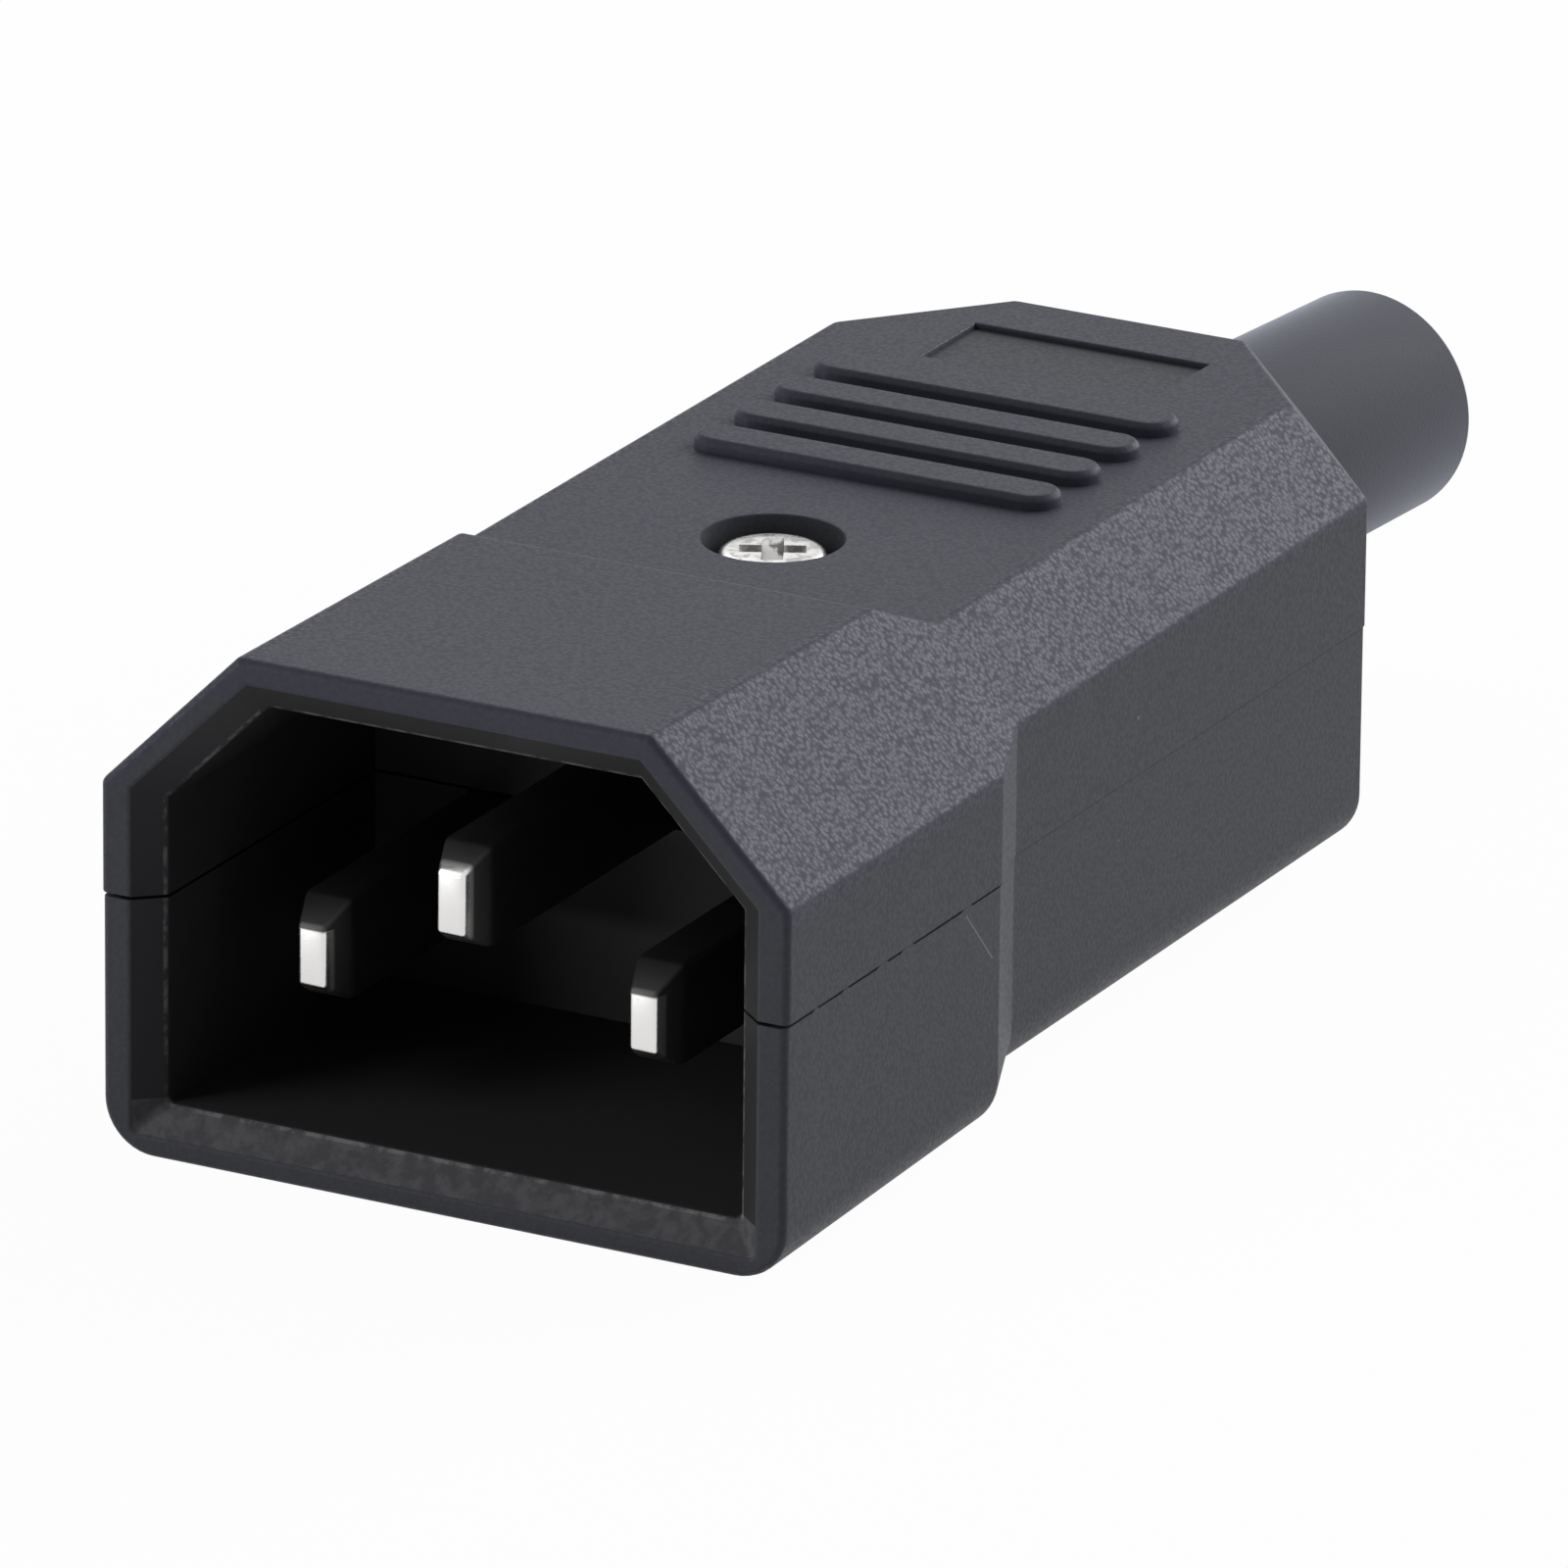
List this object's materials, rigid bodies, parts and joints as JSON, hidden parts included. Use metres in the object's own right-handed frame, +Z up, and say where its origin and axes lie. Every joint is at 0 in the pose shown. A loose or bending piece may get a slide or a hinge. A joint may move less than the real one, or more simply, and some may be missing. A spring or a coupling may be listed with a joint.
{
  "type": "rewireable appliance cord plug",
  "caption": "Rewireable appliance plug: split moulded housing with a recessed shroud around flat pins, a sunk cover screw, grip ribs, inner screw terminals, a cord clamp and a soft cord boot.",
  "frame": {"origin": "middle of the mating face, level with the parting plane of the two shells", "axes": "+X across the mating face, +Y from the mating face to the cord end, +Z up towards the cover screw"},
  "size_m": [0.029, 0.0748, 0.0205],
  "materials": {
    "housing": "fine grained mould texture",
    "boot": "smooth satin",
    "clamp": "satin",
    "contact": "nickel plated",
    "screw": "nickel plated",
    "plate": "zinc plated"
  },
  "bodies": {
    "root": {"upper_shell": "housing", "lower_shell": "housing", "cord_boot": "boot", "cover_screw": "screw", "live_contact": "contact", "neutral_contact": "contact", "earth_contact": "contact", "live_clamp_plate": "plate", "neutral_clamp_plate": "plate", "earth_clamp_plate": "plate", "terminal_screws": "screw", "cord_clamp": "clamp", "cord_clamp_screws": "screw"}
  },
  "joints": []
}
